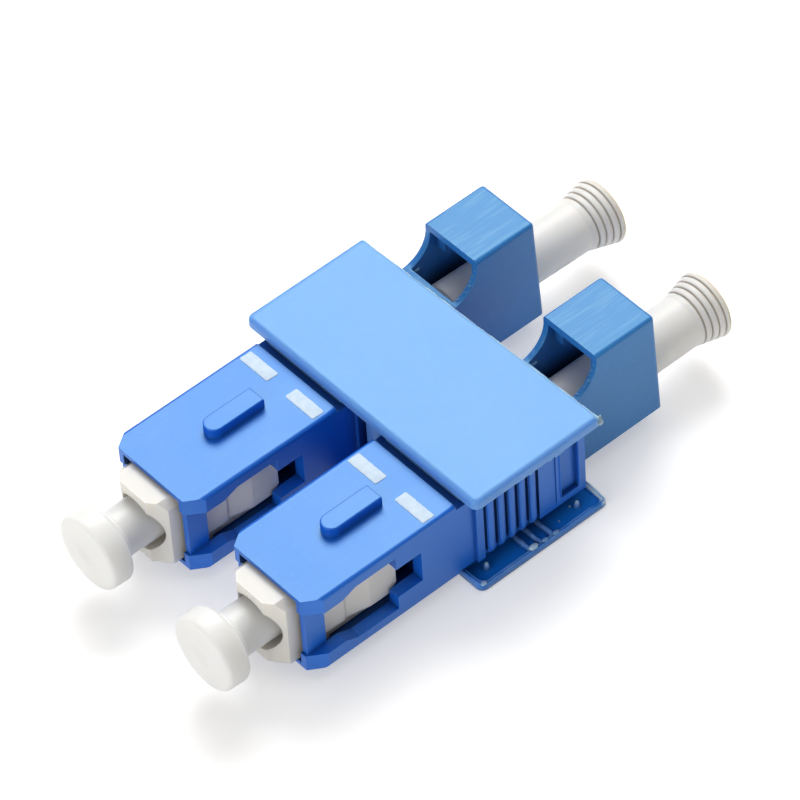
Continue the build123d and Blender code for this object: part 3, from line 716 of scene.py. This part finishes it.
def makePortCap(row):
    size = portCap
    node = f"port_dust_cap_{row}"
    low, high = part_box(node)
    flare = (high.y - low.y) / 2
    ringFirst = low.x + size["ringFirst"]
    flareStart = ringFirst - size["ringPitch"]
    flareEnd = high.x - size["rimFlat"]

    def radiusAt(x):
        share = min(1.0, (x - flareStart) / (flareEnd - flareStart))
        return size["radius"] + share * (flare - size["radius"])

    boreEnd = low.x + size["boreDepth"]
    radius, chamfer = size["radius"], size["chamfer"]
    points = [(boreEnd, poleRadius), (boreEnd, size["bore"]), (low.x, size["bore"])]
    points += [(low.x, radius - chamfer), (low.x + 2 * chamfer, radius), (flareStart, radius)]
    radii = [0, 0, 0, 0.05 * mm, 0.2 * mm, 0.8 * mm]
    for number in range(size["ringCount"]):
        x = ringFirst + number * size["ringPitch"]
        front, rear = x - size["ringWidth"] / 2, x + size["ringWidth"] / 2
        points += [(front, radiusAt(front)), (front, radiusAt(front) - size["ringDepth"])]
        points += [(rear, radiusAt(rear) - size["ringDepth"]), (rear, radiusAt(rear))]
        radii += [size["ringEdge"], size["ringFoot"], size["ringFoot"], size["ringEdge"]]
    points += [(flareEnd, flare), (high.x, flare)]
    points += [(high.x, flare - size["tanWidth"]), (high.x, poleRadius)]
    radii += [0.1 * mm, size["rimEdge"], 0, 0]
    profile = roundedPath(points, radii, steps=4)

    def tanned(ring, at):
        # Only the rim is tanned: not the flare before it, nor the middle of the end
        if profile[ring].y < flare - 0.9 * size["tanWidth"]:
            return 0.0
        past = profile[ring].x - flareEnd + size["tanStart"]
        return max(0.0, min(1.0, past / size["tanFade"]))

    shape = bmesh.new()
    addTurned(shape, profile, (rowY[row], axisZ), worn=tanned)
    for vertex in shape.verts:
        outside = max(0.0, (vertex.co.x - size["mouth"]) / (high.x - size["mouth"]))
        vertex.co.y += size["bend"][row] * outside ** 1.3
    piece = newPiece(f"portCap_{row}", shape, f"port_cap_{row}", node)
    piece.data.materials.append(capCream)


# Torn flecks along the scooped edge of a port, and a shard inside its far wall

scoopBurrs = {
    "middleX": 6.5 * mm, "middleZ": 10.8 * mm, "radius": 2.5 * mm, "nearWall": 2.5 * mm,
    # Each fleck's place in degrees along the scoop, its share of the full size and how white it is
    "flecks": (
        (8, 0.5, 0.9), (19, 0.9, 0.3), (31, 0.6, 0.5), (38, 1.3, 0.2),
        (52, 0.7, 0.35), (69, 1.1, 0.15), (83, 0.8, 0.3),
    ),
    "fleckSize": (0.14 * mm, 0.1 * mm, 0.06 * mm), "fleckShift": 0.06 * mm, "fleckRoughness": 0.4,
    "shardPlace": (7.5 * mm, 2.3 * mm, 7.9 * mm), "shardSize": (0.34 * mm, 0.12 * mm, 0.12 * mm),
    "shardRoughness": 0.3,
}


def makeScoopBurrs(row):
    size = scoopBurrs
    shape = bmesh.new()
    for number, (degrees, share, white) in enumerate(size["flecks"]):
        turn = math.radians(degrees)
        centre = (
            size["middleX"] + size["radius"] * math.cos(turn),
            rowY[row] - size["nearWall"] + size["fleckShift"] * (number % 3 - 1),
            size["middleZ"] - size["radius"] * math.sin(turn),
        )
        reach = [length * share for length in size["fleckSize"]]
        addLump(shape, centre, reach, number + rowY[row] * 1000, size["fleckRoughness"], white)
    x, y, z = size["shardPlace"]
    addLump(shape, (x, rowY[row] + y, z), size["shardSize"], 5, size["shardRoughness"], 1.0)
    piece = newPiece(f"scoopBurrs_{row}", shape, f"core_{row}", None)
    piece.data.materials.append(portBlue)


# Rounded crowns of the finger bars, and the thin bead round each panel

gripRibs = {
    "firstX": -3.1075 * mm, "pitch": 0.985 * mm, "count": 5, "side": 4.75 * mm,
    "crownHalf": 0.31 * mm, "crownProud": 0.2 * mm, "crownReach": 3.0 * mm,
    "beadHalf": 0.08 * mm, "beadProud": 0.2 * mm, "beadReach": 2.53 * mm,
    "beadX": (3.38 * mm, 5.17 * mm), "seat": 0.04 * mm,
}


def addBead(shape, start, end, out, half, proud, seat):
    # A half-round bead from start to end that stands out along Y, with rounded ends
    start, end = Vector(start), Vector(end)
    along = (end - start).normalized()
    across = along.cross(Vector((0, out, 0)))
    foot = Vector((0, out * seat, 0))
    rings = []
    lengthSteps, roundSteps = 24, 10
    for k in range(lengthSteps + 1):
        share = -math.cos(math.pi * k / lengthSteps)
        grow = max(0.12, (1 - abs(share) ** 12) ** 0.5)
        middle = start.lerp(end, (1 + share) / 2)
        ring = [middle - across * half * grow - foot]
        for step in range(roundSteps + 1):
            turn = math.pi * step / roundSteps
            rise = Vector((0, out * proud * grow * math.sin(turn), 0))
            ring.append(middle - across * half * grow * math.cos(turn) + rise)
        ring.append(middle + across * half * grow - foot)
        rings.append(ring)
    addLoft(shape, rings)


def makeGripRibs(row):
    size = gripRibs
    shape = bmesh.new()
    front, rear = size["beadX"]
    below, above = axisZ - size["beadReach"], axisZ + size["beadReach"]
    for out in (-1, 1):
        y = rowY[row] + out * size["side"]
        for number in range(size["count"]):
            x = size["firstX"] + number * size["pitch"]
            low, high = (x, y, axisZ - size["crownReach"]), (x, y, axisZ + size["crownReach"])
            addBead(shape, low, high, out, size["crownHalf"], size["crownProud"], size["seat"])
        corners = [(front, y, below), (rear, y, below), (rear, y, above), (front, y, above)]
        for start, end in zip(corners, corners[1:] + corners[:1]):
            addBead(shape, start, end, out, size["beadHalf"], size["beadProud"], size["seat"])
    piece = newPiece(f"gripRibs_{row}", shape, "housing", None)
    piece.data.materials.append(gripBlue)


# What a grip's windows show of the ivory frame: a flat strip behind each pillar, and the neck

windowTrim = {
    "stripX": (-17.5 * mm, -15.3 * mm), "stripIn": 2.55 * mm, "stripOut": 3.0 * mm,
    "stripReach": 2.15 * mm, "stripEdge": 0.06 * mm,
    "neckX": (-10.9 * mm, -8.6 * mm), "neckRadius": 2.7 * mm, "neckBore": 2.3 * mm, "neckSteps": 64,
    "weld": 0.0001 * mm,
}


def makeWindowTrim(row):
    size = windowTrim
    shape = bmesh.new()
    first, last = size["stripX"]
    edge, outside = size["stripEdge"], size["stripOut"]
    for out in (-1, 1):
        rings = []
        for inset, depth in ((0, size["stripIn"]), (0, outside - edge), (edge, outside)):
            y = rowY[row] + out * depth
            front, rear = first + inset, last - inset
            below, above = axisZ - size["stripReach"] + inset, axisZ + size["stripReach"] - inset
            rings.append([(front, y, below), (rear, y, below), (rear, y, above), (front, y, above)])
        addLoft(shape, rings)
    # The neck is a tube: its four faces are lofted one by one, then joined at their edges
    front, rear = size["neckX"]
    bore, radius = size["neckBore"], size["neckRadius"]
    section = [(front, bore), (front, radius), (rear, radius), (rear, bore)]
    turns = [2 * math.pi * k / size["neckSteps"] for k in range(size["neckSteps"])]
    for ends in zip(section, section[1:] + section[:1]):
        rings = []
        for x, around in ends:
            ring = []
            for turn in turns:
                y, z = rowY[row] + around * math.cos(turn), axisZ + around * math.sin(turn)
                ring.append((x, y, z))
            rings.append(ring)
        addLoft(shape, rings, closeStart=False, closeEnd=False)
    bmesh.ops.remove_doubles(shape, verts=shape.verts, dist=size["weld"])
    piece = newPiece(f"windowTrim_{row}", shape, f"core_{row}", None)
    piece.data.materials.append(frameIvory)


for row in rows:
    makeIndexMarks(row)
    makePlugCap(row)
    makePortCap(row)
    makeScoopBurrs(row)
    makeGripRibs(row)
    makeWindowTrim(row)
print("marks, dust caps, ribs and window trim made")


# Stage: white floor that keeps the soft shadow, plain studio lamps and the camera

studio = {
    "floorHalf": 1.5, "worldStrength": 0.24, "worldColour": (1.0, 0.975, 0.94, 1),
    "tentPower": 0.62, "tentSize": 0.55, "tentPlace": (0.1, 0.06, 0.45),
    "keyPower": 1.2, "keySize": 0.24, "keyPlace": (0.17, 0.2, 0.33),
    "fillPower": 0.75, "fillSize": 0.3, "fillPlace": (-0.42, -0.08, 0.14),
    "floorColour": (0.86, 0.855, 0.85, 1), "floorRoughness": 0.9, "floorGlow": 0.39,
}


def seenBy(tree, *kinds):
    # 1 for rays of any of these kinds, and 0 for the rest
    ray = addNode(tree, "LightPath")
    seen = ray.outputs[f"Is {kinds[0]} Ray"]
    for kind in kinds[1:]:
        other = ray.outputs[f"Is {kind} Ray"]
        seen = addNode(tree, "Math", {0: seen, 1: other}, operation="MAXIMUM").outputs[0]
    return seen


def makeFloor():
    size = studio
    shape = bmesh.new()
    half = size["floorHalf"]
    corners = [(-half, -half, 0), (half, -half, 0), (half, half, 0), (-half, half, 0)]
    shape.faces.new([shape.verts.new(corner) for corner in corners])
    mesh = bpy.data.meshes.new("floor")
    shape.to_mesh(mesh)
    shape.free()
    floor = bpy.data.objects.new("floor", mesh)
    bpy.context.scene.collection.objects.link(floor)
    material, tree, shader, _ = startMaterial("floorWhite")
    shader.inputs["Base Color"].default_value = size["floorColour"]
    shader.inputs["Roughness"].default_value = size["floorRoughness"]
    shader.inputs["Specular IOR Level"].default_value = 0.0
    seen = seenBy(tree, "Camera", "Glossy", "Transmission")
    glow = addNode(tree, "Emission", {"Strength": times(tree, seen, size["floorGlow"])})
    both = addNode(tree, "AddShader", {0: shader.outputs[0], 1: glow.outputs[0]})
    tree.links.new(both.outputs[0], tree.nodes["Material Output"].inputs["Surface"])
    mesh.materials.append(material)


def makeLamp(name, place, power, width):
    lamp = bpy.data.lights.new(name, "AREA")
    lamp.energy = power
    lamp.size = width
    holder = bpy.data.objects.new(name, lamp)
    bpy.context.scene.collection.objects.link(holder)
    holder.location = place
    holder.rotation_euler = (-Vector(place)).to_track_quat("-Z", "Y").to_euler()


def makeWorld():
    world = bpy.data.worlds.new("studioWhite")
    bpy.context.scene.world = world
    world.use_nodes = True
    tree = world.node_tree
    seen = seenBy(tree, "Camera", "Transmission")
    strength = addNode(tree, "MapRange", {
        "Value": seen, "To Min": studio["worldStrength"], "To Max": 1.0,
    })
    background = tree.nodes["Background"]
    tint = mixed(tree, seen, studio["worldColour"], (1.0, 1.0, 1.0, 1))
    tree.links.new(tint, background.inputs["Color"])
    tree.links.new(strength.outputs[0], background.inputs["Strength"])


camera = {
    "azimuth": -38.262, "elevation": 47.971, "roll": -4.116, "distance": 424.375 * mm,
    "aim": (-0.499 * mm, 1.506 * mm, 5.668 * mm), "lens": 266.48, "sensor": 36.0,
    "clipStart": 10 * mm, "clipEnd": 10,
}


def makeCamera():
    turn, rise, roll = (math.radians(camera[name]) for name in ("azimuth", "elevation", "roll"))
    back = Vector((math.sin(turn) * math.cos(rise), -math.cos(turn) * math.cos(rise), math.sin(rise)))
    right = Vector((math.cos(turn), math.sin(turn), 0))
    up = back.cross(right)
    tiltedRight = math.cos(roll) * right + math.sin(roll) * up
    tiltedUp = math.cos(roll) * up - math.sin(roll) * right
    lens = bpy.data.cameras.new("photoCamera")
    lens.lens = camera["lens"]
    lens.sensor_width = camera["sensor"]
    lens.clip_start = camera["clipStart"]
    lens.clip_end = camera["clipEnd"]
    holder = bpy.data.objects.new("photoCamera", lens)
    bpy.context.scene.collection.objects.link(holder)
    place = Matrix((tiltedRight, tiltedUp, back)).transposed().to_4x4()
    place.translation = Vector(camera["aim"]) + back * camera["distance"]
    holder.matrix_world = place
    bpy.context.scene.camera = holder


makeFloor()
makeWorld()
for lamp in ("tent", "key", "fill"):
    makeLamp(lamp + "Lamp", studio[lamp + "Place"], studio[lamp + "Power"], studio[lamp + "Size"])
makeCamera()
bpy.context.scene.view_settings.view_transform = "Standard"
print("stage made")
